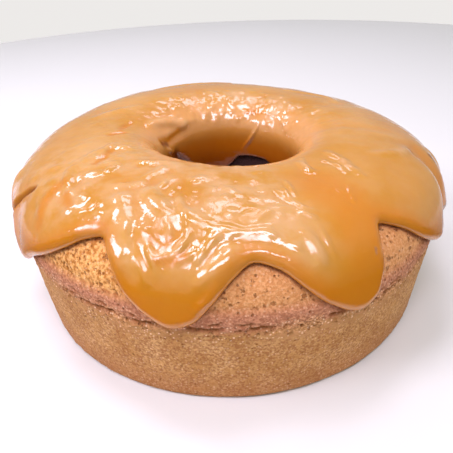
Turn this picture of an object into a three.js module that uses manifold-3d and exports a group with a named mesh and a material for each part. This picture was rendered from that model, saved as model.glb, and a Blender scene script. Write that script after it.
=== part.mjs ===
// A ring cake with a thick poured caramel topping (doce de leite), in millimetres, +Z up.
// The cake was baked in a round pan with a central tube and turned out the way it rose: its
// wall narrows towards the flat base, the tube's hole narrows towards the top, and the crumb
// stands above the line that the pan's rim left. The topping covers the whole crown, runs a
// little way down the hole and hangs over the shoulder in uneven drips.
// The origin is the centre of the base.
import * as THREE from "three";
import { ParametricGeometry } from "three/addons/geometries/ParametricGeometry.js";
import { mergeVertices } from "three/addons/utils/BufferGeometryUtils.js";
import ManifoldModule from "manifold-3d";

const solidModeller = await ManifoldModule();
solidModeller.setup();

// ---- Driving dimensions of the baked ring ----
const BASE_RADIUS = 115.5; // the outer wall's foot
const BASE_ROUND = 2.5; // the foot's rounded corner
const RIM_RADIUS = 119.6; // at the line that the pan's rim left
const RIM_HEIGHT = 49;
const LIP_RADIUS = 120.4; // the crust that swelled over that rim
const LIP_HEIGHT = 54.5;
const LIP_HALF_WIDTH = 3;
const SHOULDER_RADIUS = 118.4; // where the crust gives way to open crumb
const SHOULDER_HEIGHT = 60.5;
const CROWN_RADIUS = 71; // the highest circle
const CROWN_HEIGHT = 87.5;
const HOLE_RADIUS_TOP = 42.5; // where the hole's wall starts to round over
const HOLE_ROUND_HEIGHT = 72;
const HOLE_RADIUS_BASE = 46;
const DOME_FULLNESS = 0.62; // 0.55 would be a quarter ellipse; more is squarer
const CORNER_CUT = 0.3; // how far a quarter circle's middle stays inside its square corner

// ---- How far the baked ring is from a true turned shape ----
const LEAN = -0.023; // mm of height per mm along +X, at the crown
const CROWN_WAVE = 0.9; // mm, three low swells round the crown
const OUT_OF_ROUND = 0.6; // mm on the radius
const HOLE_SHIFT = { x: 1.6, y: 4 }; // the pan's tube stood this far off centre
const SHIFT_ENDS_AT = 105; // the radius where the cake no longer shows that shift

// ---- The topping ----
const GAP = 0.4; // clearance between the two solids
const SINK = 3; // how far the topping reaches into the cake before the cake is cut from it
const FILM_IN_HOLE = 2.6;
const FILM_ON_CROWN = 6.0;
const FILM_ON_SHOULDER = 6.5;
const ROLL_HEIGHT = 3.6; // extra, where it gathers in a roll on the front of the hole's mouth
const ROLL_RUN = -22; // from the crown circle towards the hole
const ROLL_HALF_WIDTH = 24;

// The outer edge: azimuth in degrees from +X, and how far the topping has run from the
// crown circle, in mm along the cake's surface. Tips and the notches between them.
const DRIPS = [
  [3, 50], [9, 62], [15, 69], [21, 68], [26, 58], [31, 47], [36, 45], [42, 52],
  [48, 64], [54, 70.5], [60, 70], [65, 62], [70, 50], [75, 45], [80, 48], [86, 60],
  [92, 68], [98, 70], [104, 65], [109, 53], [114, 46], [119, 47], [125, 57], [131, 66],
  [137, 67], [142, 59], [147, 49], [151, 47], [156, 55], [162, 68], [168, 72],
  [173, 66], [177, 55], [181, 50], [187, 65], [192, 69], [197, 53],
  [204, 67], [211, 70.5], [218, 62.5], [224, 56], [230, 48.5], [235, 41.5], [239, 38.5],
  [243, 46], [248, 58], [252, 64.5], [257.5, 69.5], [262, 66], [266, 57], [270, 47.5],
  [275, 41], [280, 44.5], [285, 53.5], [290, 63], [297, 70], [301.5, 65.5], [303.7, 55],
  [305.5, 44], [308, 38], [313, 43.5], [320, 55.5], [328, 66], [334, 69.5], [340, 63],
  [347, 72.5], [355, 61],
];

// The inner edge: the same, measured from the crown circle down into the hole.
const HOLE_DRIPS = [
  [8, 63], [30, 60], [44, 57], [54, 52.5], [68, 52], [80, 53], [88, 59], [104, 67],
  [118, 64], [130, 54], [142, 49], [152, 54], [170, 63], [192, 55], [214, 66], [236, 57],
  [262, 66], [288, 58], [312, 66], [338, 56],
];

// ---- Mesh steps ----
const CAKE_SLICES = 96;
const DOME_STEPS = 7;
const TOPPING_SLICES = 130;
const TOPPING_ROWS = 9; // between the beads of the topping's two edges
const UNDERSIDE_ROWS = 6;
const BEAD_ROWS = [0, 0.12, 0.45]; // in from an edge, in film thicknesses

const FULL_TURN = 2 * Math.PI;

const blend = (from, to, share) =>
  THREE.MathUtils.lerp(from, to, THREE.MathUtils.smoothstep(share, 0, 1));

// ---- The cake's half section, as (radius, height) ----

// A quarter of the dome, from one point level with the crown to one on a wall, or back.
function domeQuarter(path, endRadius, endHeight, startsLevel) {
  const start = path.currentPoint.clone();
  const reachOut = (endRadius - start.x) * DOME_FULLNESS;
  const reachUp = (endHeight - start.y) * DOME_FULLNESS;
  if (startsLevel)
    path.bezierCurveTo(
      start.x + reachOut, start.y, endRadius, endHeight - reachUp, endRadius, endHeight,
    );
  else
    path.bezierCurveTo(
      start.x, start.y + reachUp, endRadius - reachOut, endHeight, endRadius, endHeight,
    );
}

// From the crown circle out over the shoulder and down the wall.
function outerSkin() {
  const path = new THREE.Path();
  path.moveTo(CROWN_RADIUS, CROWN_HEIGHT);
  domeQuarter(path, SHOULDER_RADIUS, SHOULDER_HEIGHT, true);
  path.lineTo(LIP_RADIUS - 0.4, LIP_HEIGHT + LIP_HALF_WIDTH);
  path.lineTo(LIP_RADIUS, LIP_HEIGHT);
  path.lineTo(LIP_RADIUS - 0.2, LIP_HEIGHT - LIP_HALF_WIDTH);
  path.lineTo(RIM_RADIUS, RIM_HEIGHT);
  path.lineTo(BASE_RADIUS, BASE_ROUND);
  path.lineTo(BASE_RADIUS - BASE_ROUND * CORNER_CUT, BASE_ROUND * CORNER_CUT);
  path.lineTo(BASE_RADIUS - BASE_ROUND, 0);
  return path;
}

// From the hole's foot up its wall to the crown circle.
function holeSkin() {
  const path = new THREE.Path();
  path.moveTo(HOLE_RADIUS_BASE, 0);
  path.lineTo(HOLE_RADIUS_TOP, HOLE_ROUND_HEIGHT);
  domeQuarter(path, CROWN_RADIUS, CROWN_HEIGHT, false);
  return path;
}

// Places a point of the half section round the ring, with the hole's shift and the baked
// ring's lean, swells and out-of-roundness. The last three fade out at the base, which is flat.
function settle(azimuth, radius, height) {
  const up = height / CROWN_HEIGHT;
  const rounded = radius + OUT_OF_ROUND * up * Math.cos(2 * azimuth + 0.6);
  const shift = blend(1, 0, (radius - HOLE_RADIUS_BASE) / (SHIFT_ENDS_AT - HOLE_RADIUS_BASE));
  const x = rounded * Math.cos(azimuth) + HOLE_SHIFT.x * shift;
  const y = rounded * Math.sin(azimuth) + HOLE_SHIFT.y * shift;
  const wave = CROWN_WAVE * Math.cos(3 * azimuth + 0.4);
  return new THREE.Vector3(x, y, height + up * (LEAN * x + wave));
}

// A closed solid from a function of (share of a turn, share of the way round the section).
// The section runs from the hole over the top and back underneath; turning the other way
// round from it makes the faces point out.
function ringSolid(pointAt, slices, sectionSteps) {
  const geometry = new ParametricGeometry(
    (turn, section, target) => target.copy(pointAt(1 - turn, section)),
    slices,
    sectionSteps,
  );
  geometry.deleteAttribute("uv");
  return geometry;
}

// To and from the solids that the cutting library works on.
function asSolid(geometry) {
  const merged = mergeVertices(geometry.deleteAttribute("normal"), 1e-3);
  return new solidModeller.Manifold(
    new solidModeller.Mesh({
      numProp: 3,
      vertProperties: merged.getAttribute("position").array,
      triVerts: new Uint32Array(merged.index.array),
    }),
  );
}

function asGeometry(solid) {
  const { vertProperties, triVerts } = solid.getMesh();
  return new THREE.BufferGeometry()
    .setAttribute("position", new THREE.BufferAttribute(vertProperties, 3))
    .setIndex(new THREE.BufferAttribute(triVerts, 1));
}

// The baked ring, or with a margin the same ring grown by that much over its skin.
function cakeGeometry(margin = 0) {
  // The hole's wall, the dome and the outer wall in one loop, which the flat base closes.
  const section = [
    ...holeSkin().getPoints(DOME_STEPS),
    ...outerSkin().getPoints(DOME_STEPS).slice(1),
  ].map((point, i, all) => {
    const along = new THREE.Vector2().subVectors(all[i + 1] ?? point, all[i - 1] ?? point);
    const outward = new THREE.Vector2(-along.y, along.x).normalize();
    return point.clone().addScaledVector(outward, margin);
  });
  const steps = section.length;
  return ringSolid(
    (turn, share) => {
      const point = section[Math.round(share * steps) % steps];
      return settle((turn % 1) * FULL_TURN, point.x, point.y);
    },
    CAKE_SLICES,
    steps,
  );
}

// ---- The topping ----

// The cake's section as one measured line: 0 at the crown circle, more outwards, and less
// than 0 into the hole. Gives the point there and the way out of the cake.
function measuredSkin() {
  const outer = outerSkin();
  const hole = holeSkin();
  const outerLength = outer.getLength();
  const holeLength = hole.getLength();
  const pointAt = (run) =>
    run >= 0
      ? outer.getPointAt(Math.min(run / outerLength, 1))
      : hole.getPointAt(Math.max(1 + run / holeLength, 0));
  const halfStep = 2.5;
  return (run) => {
    const along = pointAt(run + halfStep).sub(pointAt(run - halfStep)).normalize();
    return { point: pointAt(run), outward: new THREE.Vector2(-along.y, along.x) };
  };
}

// A smooth closed curve through [azimuth, run] pairs that never swings past its neighbours.
function edgeCurve(pairs) {
  const count = pairs.length;
  const at = (i) => {
    const [azimuth, run] = pairs[((i % count) + count) % count];
    return { azimuth: azimuth + 360 * Math.floor(i / count), run };
  };
  const slopeBetween = (i) => (at(i + 1).run - at(i).run) / (at(i + 1).azimuth - at(i).azimuth);
  const slopeAt = (i) => {
    const before = slopeBetween(i - 1);
    const after = slopeBetween(i);
    return before * after <= 0 ? 0 : (2 * before * after) / (before + after);
  };
  return (azimuth) => {
    const degrees = THREE.MathUtils.radToDeg(azimuth);
    let i = -1;
    while (at(i + 1).azimuth <= degrees) i += 1;
    const [a, b] = [at(i), at(i + 1)];
    const width = b.azimuth - a.azimuth;
    const t = (degrees - a.azimuth) / width;
    return (
      a.run * (1 + 2 * t) * (1 - t) ** 2 +
      b.run * t * t * (3 - 2 * t) +
      width * (slopeAt(i) * t * (1 - t) ** 2 - slopeAt(i + 1) * t * t * (1 - t))
    );
  };
}

// Azimuths that stand closer together where the outer edge runs steeply: equal steps along
// the edge itself.
function azimuthsAlong(edge, count) {
  const samples = 8 * count;
  const lengths = [0];
  for (let i = 1; i <= samples; i++) {
    const rise = edge((i / samples) * FULL_TURN) - edge(((i - 1) / samples) * FULL_TURN);
    lengths.push(lengths[i - 1] + Math.hypot((SHOULDER_RADIUS * FULL_TURN) / samples, rise));
  }
  return Array.from({ length: count }, (_, k) => {
    const target = (k / count) * lengths[samples];
    const i = lengths.findIndex((length) => length > target);
    const share = (target - lengths[i - 1]) / (lengths[i] - lengths[i - 1]);
    return ((i - 1 + share) / samples) * FULL_TURN;
  });
}

// Thin in the hole, thicker over the crown and thickest where it gathers on the shoulder, with
// a low roll on the front (-Y) of the hole's mouth.
function filmAt(azimuth, run) {
  const film =
    run < 0
      ? blend(FILM_ON_CROWN, FILM_IN_HOLE, -run / 45)
      : blend(FILM_ON_CROWN, FILM_ON_SHOULDER, run / 60);
  const across = blend(1, 0, Math.abs(run - ROLL_RUN) / ROLL_HALF_WIDTH);
  const frontness = Math.max(0, -Math.sin(azimuth));
  return film + ROLL_HEIGHT * across * frontness;
}

function toppingGeometry() {
  const skin = measuredSkin();
  const outerEdge = edgeCurve(DRIPS);
  const holeEdge = edgeCurve(HOLE_DRIPS);
  const onCake = (azimuth, run, lift) => {
    const { point, outward } = skin(run);
    return settle(azimuth, point.x + outward.x * lift, point.y + outward.y * lift);
  };
  const rim = azimuthsAlong(outerEdge, 4 * TOPPING_SLICES).flatMap((azimuth) => [
    onCake(azimuth, outerEdge(azimuth), 0),
    onCake(azimuth, -holeEdge(azimuth), 0),
  ]);
  // The film rises from the edge as a quarter circle, so the edge is a rounded bead.
  const liftAt = (azimuth, run) => {
    const here = onCake(azimuth, run, 0);
    const fromEdge = Math.min(...rim.map((p) => p.distanceTo(here)));
    const film = filmAt(azimuth, run);
    const inward = 1 - Math.min(fromEdge / film, 1);
    return film * Math.sqrt(1 - inward * inward);
  };
  const section = toppingSection();
  const azimuths = azimuthsAlong(outerEdge, TOPPING_SLICES);
  const poured = ringSolid(
    (turn, share) => {
      const azimuth = azimuths[Math.round(turn * TOPPING_SLICES) % TOPPING_SLICES];
      const station = section[Math.round(share * section.length) % section.length];
      const holeEnd = -holeEdge(azimuth);
      const outerEnd = outerEdge(azimuth);
      const run = THREE.MathUtils.lerp(
        holeEnd + station.bead * filmAt(azimuth, holeEnd),
        outerEnd - station.bead * filmAt(azimuth, outerEnd),
        station.across,
      );
      return onCake(azimuth, run, station.onTop ? GAP + liftAt(azimuth, run) : -SINK);
    },
    TOPPING_SLICES,
    section.length,
  );
  return asGeometry(asSolid(poured).subtract(asSolid(cakeGeometry(GAP))));
}

// The topping's section as a loop of stations: over the top from the hole's edge to the
// outer edge, rounding up over a bead at each, then back below the cake's skin.
function toppingSection() {
  const station = (across, bead, onTop) => ({ across, bead, onTop });
  const beads = (across) => BEAD_ROWS.map((bead) => station(across, bead, true));
  const rows = (count, bead, onTop) =>
    Array.from({ length: count + 1 }, (_, i) => station(i / count, bead, onTop));
  return [
    ...beads(0),
    ...rows(TOPPING_ROWS, 1, true),
    ...beads(1).reverse(),
    ...rows(UNDERSIDE_ROWS, 0, false).reverse(),
  ];
}

// ---- The assembly ----
const crumb = new THREE.MeshStandardMaterial({ color: 0xb98353, roughness: 0.85, metalness: 0 });
const caramel = new THREE.MeshStandardMaterial({ color: 0xd9954a, roughness: 0.18, metalness: 0 });

const cake = new THREE.Mesh(cakeGeometry(), crumb);
cake.name = "baked_ring";

const topping = new THREE.Mesh(toppingGeometry(), caramel);
topping.name = "caramel_topping";

const churroCake = new THREE.Group();
churroCake.add(cake, topping);

export default churroCake;
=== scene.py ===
"""A ring cake under a thick pour of dulce de leche.

Two pieces stand in for the two solids of the frame: the baked ring, with its open crumb, the
crust that rose over the pan's rim, the ragged line below it and the fine-grained wall, and the
caramel topping, with its folds, its rounded lips and its drips.

A place on the cake is an azimuth, counted from +X towards the back, and a run: how far it lies
over the skin from the crown circle, more than zero outwards and less than zero into the hole.
The cake's lengths are in millimetres until a mesh is made, when MM turns them into metres. The
finishes and the set are in metres.
"""

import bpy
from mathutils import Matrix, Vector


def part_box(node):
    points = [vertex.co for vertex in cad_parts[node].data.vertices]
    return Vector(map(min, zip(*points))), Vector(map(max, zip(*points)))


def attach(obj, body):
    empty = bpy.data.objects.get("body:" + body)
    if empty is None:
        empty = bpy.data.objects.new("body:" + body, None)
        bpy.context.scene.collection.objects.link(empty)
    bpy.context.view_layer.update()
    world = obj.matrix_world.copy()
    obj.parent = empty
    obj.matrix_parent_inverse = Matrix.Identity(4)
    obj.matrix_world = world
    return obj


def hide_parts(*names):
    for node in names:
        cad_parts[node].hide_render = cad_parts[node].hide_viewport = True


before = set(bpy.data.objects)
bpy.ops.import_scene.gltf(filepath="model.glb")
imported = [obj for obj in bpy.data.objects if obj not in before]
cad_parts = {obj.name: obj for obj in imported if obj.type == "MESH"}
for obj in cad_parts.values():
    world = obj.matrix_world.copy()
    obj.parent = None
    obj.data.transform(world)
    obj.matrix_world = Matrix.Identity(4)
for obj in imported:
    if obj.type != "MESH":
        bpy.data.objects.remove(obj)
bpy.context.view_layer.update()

import copy
import math

import bpy
import numpy as np
from mathutils import Matrix, Vector, noise
from mathutils.kdtree import KDTree

DRAWN_WIDTH = 241.42  # the baked ring's width in the millimetres used below
RING_LOW, RING_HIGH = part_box("baked_ring")
MM = (RING_HIGH.x - RING_LOW.x) / DRAWN_WIDTH
ALL_ROUND = 2 * math.pi

# ---- The baked ring's half section ----
BASE_RADIUS = 115.5
BASE_ROUND = 2.5
RIM_RADIUS = 119.6  # at the line that the pan's rim left
RIM_HEIGHT = 49.0
CRUST_RADIUS = 120.4  # where the crust swelled out over that rim
CRUST_HEIGHT = 54.5
CRUST_REACH = 3.0  # its swell's reach above and below, where it is a little narrower
CRUST_EASE = 0.4
SHOULDER_RADIUS = 118.4  # where the crust gives way to open crumb
SHOULDER_HEIGHT = 60.5
CROWN_RADIUS = 71.0  # the highest circle
CROWN_HEIGHT = 87.5
HOLE_RADIUS_TOP = 42.5
HOLE_ROUND_HEIGHT = 72.0
HOLE_RADIUS_BASE = 46.0
DOME_FULLNESS = 0.62
DOME_POINTS = 200
SKIN_STEP = 0.25  # between the skin's measured points
SLOPE_REACH = 2.5  # how far ahead and behind its slope is taken
POUR_SPREAD = 5.0  # how widely a thick pour rounds off the corners under it

# ---- How far it is from a true turned shape ----
LEAN = -0.023
CROWN_WAVE = 0.9
CROWN_WAVE_TURN = 0.4
OUT_OF_ROUND = 0.6
OUT_OF_ROUND_TURN = 0.6
HOLE_SHIFT = (1.6, 4.0)
SHIFT_ENDS_AT = 105.0

# ---- The topping ----
GAP = 0.4  # between the topping and the cake
FILM_IN_HOLE = 2.6
FILM_ON_CROWN = 4.8
FILM_ON_SHOULDER = 5.6
HOLE_FILM_RUN = 45.0  # how far down the hole the film has thinned to that
SHOULDER_FILM_RUN = 60.0
ROLL_HEIGHT = 3.6  # the thicker roll where it turns into the hole, fullest in front
ROLL_RUN = -22.0
ROLL_HALF_WIDTH = 24.0
LIP_WIDTH = 4.6  # how far in from its edge the topping reaches its full thickness, at most
LIP_TUCK = 0.5  # how much of the rounded edge curls under, as the sine of an angle
MM_PER_DEGREE = 1.8  # about, round the outer half of the topping

# Outer edge: azimuth from +X in degrees, and how far the topping has run from the crown circle.
DRIPS = [
    (3, 50), (9, 62), (15, 69), (21, 68), (26, 58), (31, 47), (36, 45), (42, 52), (48, 64),
    (54, 70.5), (60, 70), (65, 62), (70, 50), (75, 45), (80, 48), (86, 60), (92, 68), (98, 70),
    (104, 65), (109, 53), (114, 46), (119, 47), (125, 57), (131, 66), (137, 67), (142, 59),
    (147, 49), (151, 47), (156, 55), (162, 68), (168, 72), (173, 66), (177, 55), (181, 50),
    (187, 65), (192, 69), (197, 53), (204, 67), (211, 70.5), (218, 62.5), (224, 56), (230, 48.5),
    (235, 41.5), (239, 38.5), (243, 46), (248, 58), (252, 64.5), (257.5, 69.5), (262, 66),
    (266, 57), (270, 47.5), (275, 41), (280, 44.5), (285, 53.5), (290, 63), (297, 70),
    (301.5, 65.5), (303.7, 55), (305.5, 44), (308, 38), (313, 43.5), (320, 55.5), (328, 66),
    (334, 69.5), (340, 63), (347, 72.5), (355, 61),
]

# Inner edge: the same, measured from the crown circle down into the hole.
HOLE_DRIPS = [
    (8, 63), (30, 60), (44, 57), (54, 52.5), (68, 52), (80, 53), (88, 59), (104, 67),
    (118, 64), (130, 54), (142, 49), (152, 54), (170, 63), (192, 55), (214, 66), (236, 57),
    (262, 66), (288, 58), (312, 66), (338, 56),
]

# Marks that the spoon and the setting caramel left: how high the ridge stands, or how deep the
# groove goes where it is below zero, its half width, and its way as (azimuth, run) points.
SPOON_MARKS = [
    # Down the front, from the crown to the edge of the pour.
    (1.5, 2.2, [(253, 10), (256, 17), (259, 23), (260.5, 29), (260, 34), (258, 39), (254, 42)]),
    (-0.9, 2.6, [(251, 33), (255, 36), (257, 33)]),
    (0.9, 1.5, [(254, 26), (255.5, 30), (255.5, 36)]),
    (1.0, 1.5, [(262, 35), (262, 38), (259, 42)]),
    (1.3, 2.4, [(271, 28), (267, 31), (265, 35), (263, 40)]),
    (1.8, 3.8, [(270, 38), (268, 42), (264, 48)]),
    (1.2, 1.8, [(268, 27), (273, 29.5), (278, 29), (281, 32), (285, 38)]),
    (-0.7, 2.2, [(272, 34), (277, 34), (281, 37)]),
    (1.0, 2.0, [(277, 24), (280, 20), (283, 18.5), (288, 20)]),
    (0.8, 1.3, [(289, 14), (290.5, 20), (293, 23)]),
    (0.8, 1.3, [(289, 22), (292, 27)]),
    (0.8, 1.1, [(288, 2), (288.5, 10), (288, 17)]),
    (0.8, 1.1, [(291.5, 1), (291, 8), (290.5, 14)]),
    (0.7, 1.1, [(286, 6), (287, 13)]),
    (1.7, 4.0, [(259, 20), (263, 26), (268, 29)]),
    (1.9, 4.2, [(243, 11), (247, 16), (251, 20), (255, 23)]),
    (1.0, 2.0, [(245, 10), (246, 2)]),
    (1.0, 2.0, [(250, 14), (251, 4)]),
    (2.3, 4.4, [(239, 24), (242, 32), (244, 39), (247, 46)]),
    (1.0, 2.0, [(244.5, 29), (246.5, 37), (247.5, 43)]),
    (1.0, 2.0, [(248.5, 41), (251, 45), (253, 50)]),
    (1.0, 2.0, [(250.5, 37), (253.5, 42), (255, 47)]),
    (1.4, 2.6, [(287.5, 33), (288.5, 38), (289, 44)]),
    (0.7, 1.2, [(291.5, 31), (291.5, 38), (292, 44)]),
    # Where the front rolls over into the hole.
    (0.9, 2.4, [(221, -2), (230, -7), (243, -14)]),
    (0.9, 2.4, [(236, 7), (239, -4), (245, -13)]),
    (0.8, 1.8, [(254, -1), (258, -4), (262, -4)]),
    (0.8, 1.8, [(265, 1), (270, 4), (273, 8)]),
    # The left of the front, where the spoon turned.
    (1.2, 2.2, [(209, 15), (214, 22), (219, 27), (226, 29)]),
    (1.1, 2.4, [(222, 19), (226, 25), (228, 31), (226, 37)]),
    (1.3, 2.2, [(209, 11), (208, 6), (203, 0), (199, -5)]),
    (-0.9, 2.6, [(214, 9), (211, 3), (206, -3)]),
    (0.9, 2.0, [(205, -3), (206, -11)]),
    (-0.9, 2.0, [(186, -3), (181, -11)]),
    (-0.9, 2.0, [(176, -7), (164, -11)]),
    (0.8, 1.8, [(223, 11), (222, 3)]),
    (1.3, 2.4, [(207, 11), (205, 6), (203, 1)]),
    (1.0, 2.0, [(203, -4), (206, -8), (209, -10)]),
    (1.2, 2.4, [(210, 18), (213, 22), (218, 25)]),
    (1.2, 2.2, [(222, 9), (221, 4), (218, 0)]),
    (1.1, 2.6, [(219, 15), (222, 12)]),
    (1.2, 2.8, [(236, 23), (238, 18)]),
    (1.0, 1.8, [(237, 12), (239, 7)]),
    # The right of the front.
    (1.2, 2.4, [(323, -7), (321.5, -1), (320, 4), (318, 9), (317, 16)]),
    (0.9, 1.4, [(315, -4), (316, 3), (314, 10)]),
    (1.1, 2.0, [(306, -11), (305, -5), (305.5, 0)]),
    (0.7, 1.2, [(309, 17), (307, 21), (305.5, 25)]),
    (0.7, 1.6, [(310, -13), (305, -6), (303, 0)]),
    # Broad low swells, all round.
    (0.7, 4.0, [(222, 44), (217, 37), (215, 30)]),
    (0.9, 3.4, [(163, 12), (155, 5), (147, -2)]),
    (0.9, 3.0, [(120, 22), (104, 28), (88, 24)]),
    (0.8, 2.6, [(60, 15), (44, 20), (32, 14)]),
    (0.9, 3.0, [(350, 30), (340, 24), (333, 12)]),
    # The hole's back rim.
    (0.8, 1.5, [(60, -22), (52, -23), (40, -25), (30, -28)]),
    (1.6, 2.2, [(73, -22.5), (65, -22.5)]),
    # Ridges beside the front notches.
    (0.9, 1.3, [(263, 58.5), (265.5, 53.5), (267.5, 49)]),
    (0.8, 1.2, [(287, 53.5), (288.5, 57.5), (290, 62)]),
    (0.8, 1.1, [(272, 43), (274, 41.8), (276, 41)]),
    # A strand that ran down the back of the hole.
    (1.0, 1.2, [(61, -30), (66, -36), (76, -46)]),
    # The recess at the left back of the hole, and the ridges round it.
    (2.0, 3.0, [(160, -19), (150, -21), (141, -24), (133, -27.5), (126, -27.5)]),
    (1.4, 2.0, [(136, -28.5), (130, -28.5)]),
    (-1.7, 2.6, [(164, -29), (155, -31.5), (147, -31.5), (137, -31), (127, -29)]),
    (2.2, 1.9, [(160, -35), (154, -38)]),
    (-1.8, 3.4, [(150, -42), (144, -47), (137, -52)]),
    # The fold in the left side.
    (2.2, 5.0, [(191, 46), (190, 54), (191, 62)]),
    (-1.6, 9.0, [(206, 44), (207, 54), (210, 62)]),
    (-4.8, 1.4, [(208, 37.5), (206, 41), (204.5, 45.5), (202.5, 50), (200, 57)]),
    # The dent and the nub in the right side.
    (-3.4, 7.5, [(348, 32), (345, 42), (340.5, 52), (334, 62)]),
    (1.3, 3.4, [(355.5, 44), (354.5, 52), (353, 62)]),
]

# Where clear golden syrup has pooled or run, and a few bands of its colour that are painted shade
# and painted reflection of something dark: half width and way.
SYRUP_AND_SHADE_STREAKS = [
    (1.2, [(183, -7.5), (177, -8.5), (171, -9.5)]),
    (1.5, [(220.5, 51), (221, 53)]),
    (1.2, [(276, 42.5), (281, 47), (285, 51.5)]),
    # Painted shade under the lip at the hole's left back.
    (2.6, [(166, -28), (157, -30.5), (149, -31), (140, -30)]),
    (2.6, [(72, -22.5), (65, -22.5)]),
    (1.0, [(65, -22.5), (58, -22), (50, -23)]),
    (1.6, [(186, -3), (181, -10)]),
    (1.3, [(176, -7), (166, -10)]),
    (2.2, [(255, 43), (258, 42), (260, 40)]),
    (1.6, [(214, 10), (211, 4), (205, -2)]),
    (2.4, [(222, 30), (226, 33)]),
    (3.4, [(216, 27), (218, 38), (221, 46)]),
    # These two wide bands on the front right are painted reflection of something dark.
    (5.0, [(301, 5), (303, 14)]),
    (13.0, [(302, 10), (304, 24), (301, 40), (299, 54)]),
]

# Where the topping folded over itself and a dark line of shade shows: half width and way.
CREASES = [
    (1.5, [(208, 37.5), (206, 41), (204.5, 45.5), (202.5, 50), (200, 57)]),
    (1.4, [(351, 42), (350, 50), (348, 58)]),
    (2.2, [(166, -30), (159, -32)]),
    (3.6, [(149, -42), (144, -47), (137, -52)]),
]


# ---- Small tools ----


def ease(share):
    share = np.clip(share, 0.0, 1.0)
    return share * share * (3.0 - 2.0 * share)


def ramp(x, low, high):
    """0 below low, 1 above high, eased between."""
    return ease((np.asarray(x, float) - low) / (high - low))


def band(x, starts, full, falls, ends):
    """1 from full to falls, easing to 0 at starts and at ends."""
    return ramp(x, starts, full) * (1 - ramp(x, falls, ends))


def bell(x, width):
    """1 at zero, about a third at that width and next to nothing at twice it."""
    return np.exp(-((x / width) ** 2))


def knob(distance, width):
    """1 in the middle, rounding off to 0 at that width."""
    return np.clip(1 - (distance / width) ** 2, 0, 1) ** 2


def between(first, last, share):
    return first * (1 - share) + last * share


def waves(points, size, seed):
    """Smooth noise from about -1 to 1 with lumps of that size, at every point."""
    moved = (points / size + seed).reshape(-1, 3).tolist()
    return np.array([noise.noise(p) for p in moved]).reshape(points.shape[:-1])


def three_waves(points, size, seeds):
    """The same as a push in three directions."""
    return np.stack([waves(points, size, seed) for seed in seeds], axis=-1)


def crests(points, size, seed, sharpness=2.4):
    """Noise with sharp crests: 1 along thin lines, falling to 0 between them."""
    return 1.0 - np.clip(np.abs(waves(points, size, seed)) * sharpness, 0.0, 1.0)


def pores(points, size, seed):
    """Distance to the nearest scattered centre, as a share of size, and a number per centre."""
    moved = (points / size + seed).reshape(-1, 3).tolist()
    spread, offset = 7.31, Vector((3.7, 1.9, 8.3))  # these part the numbers of near neighbours
    distances, marks = [], []
    for p in moved:
        near, centres = noise.voronoi(p)
        distances.append(near[0])
        marks.append(noise.cell(centres[0] * spread + offset))
    shape = points.shape[:-1]
    return np.array(distances).reshape(shape), np.array(marks).reshape(shape)


def edge_curve(pairs):
    """A smooth closed curve through (azimuth, run) pairs that never swings past them."""
    azimuth, run = np.array(pairs, float).T
    azimuth = np.concatenate([azimuth[-2:] - 360.0, azimuth, azimuth[:2] + 360.0])
    run = np.concatenate([run[-2:], run, run[:2]])
    slopes = np.diff(run) / np.diff(azimuth)
    before, after = slopes[:-1], slopes[1:]
    same_way = before * after > 0
    total = np.where(same_way, before + after, 1.0)
    slope = np.concatenate([[0.0], np.where(same_way, 2 * before * after / total, 0.0), [0.0]])

    def at(azimuths):
        degrees = np.degrees(azimuths) % 360.0
        i = np.clip(np.searchsorted(azimuth, degrees, "right") - 1, 0, len(azimuth) - 2)
        width = azimuth[i + 1] - azimuth[i]
        t = (degrees - azimuth[i]) / width
        return (
            run[i] * (1 + 2 * t) * (1 - t) ** 2
            + run[i + 1] * t * t * (3 - 2 * t)
            + width * (slope[i] * t * (1 - t) ** 2 - slope[i + 1] * t * t * (1 - t))
        )

    return at


# ---- The skin of the baked ring ----


def dome_quarter(start, end, level_first):
    """A quarter of the dome: level where it meets the crown, upright at its other end."""
    reach = (np.array(end) - np.array(start)) * DOME_FULLNESS
    if level_first:
        handles = [(start[0] + reach[0], start[1]), (end[0], end[1] - reach[1])]
    else:
        handles = [(start[0], start[1] + reach[1]), (end[0] - reach[0], end[1])]
    t = np.linspace(0, 1, DOME_POINTS)[:, None]
    a, b, c, d = (np.array(p, float) for p in (start, *handles, end))
    return (1 - t) ** 3 * a + 3 * (1 - t) ** 2 * t * b + 3 * (1 - t) * t * t * c + t**3 * d


def half_section():
    """The outline from the hole's foot over the crown to the base, and the crown's place in it."""
    crown = (CROWN_RADIUS, CROWN_HEIGHT)
    hole_foot = [(HOLE_RADIUS_BASE, 0.0)]
    hole = np.vstack([hole_foot, dome_quarter((HOLE_RADIUS_TOP, HOLE_ROUND_HEIGHT), crown, False)])
    dome = dome_quarter(crown, (SHOULDER_RADIUS, SHOULDER_HEIGHT), True)
    half_round = 0.3 * BASE_ROUND  # about halfway round the foot of the wall
    wall = [
        (CRUST_RADIUS - CRUST_EASE, CRUST_HEIGHT + CRUST_REACH),
        (CRUST_RADIUS, CRUST_HEIGHT),
        (CRUST_RADIUS - CRUST_EASE / 2, CRUST_HEIGHT - CRUST_REACH),
        (RIM_RADIUS, RIM_HEIGHT),
        (BASE_RADIUS, BASE_ROUND),
        (BASE_RADIUS - half_round, half_round),
        (BASE_RADIUS - BASE_ROUND, 0.0),
    ]
    return np.vstack([hole, dome[1:], wall]), len(hole) - 1


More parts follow.
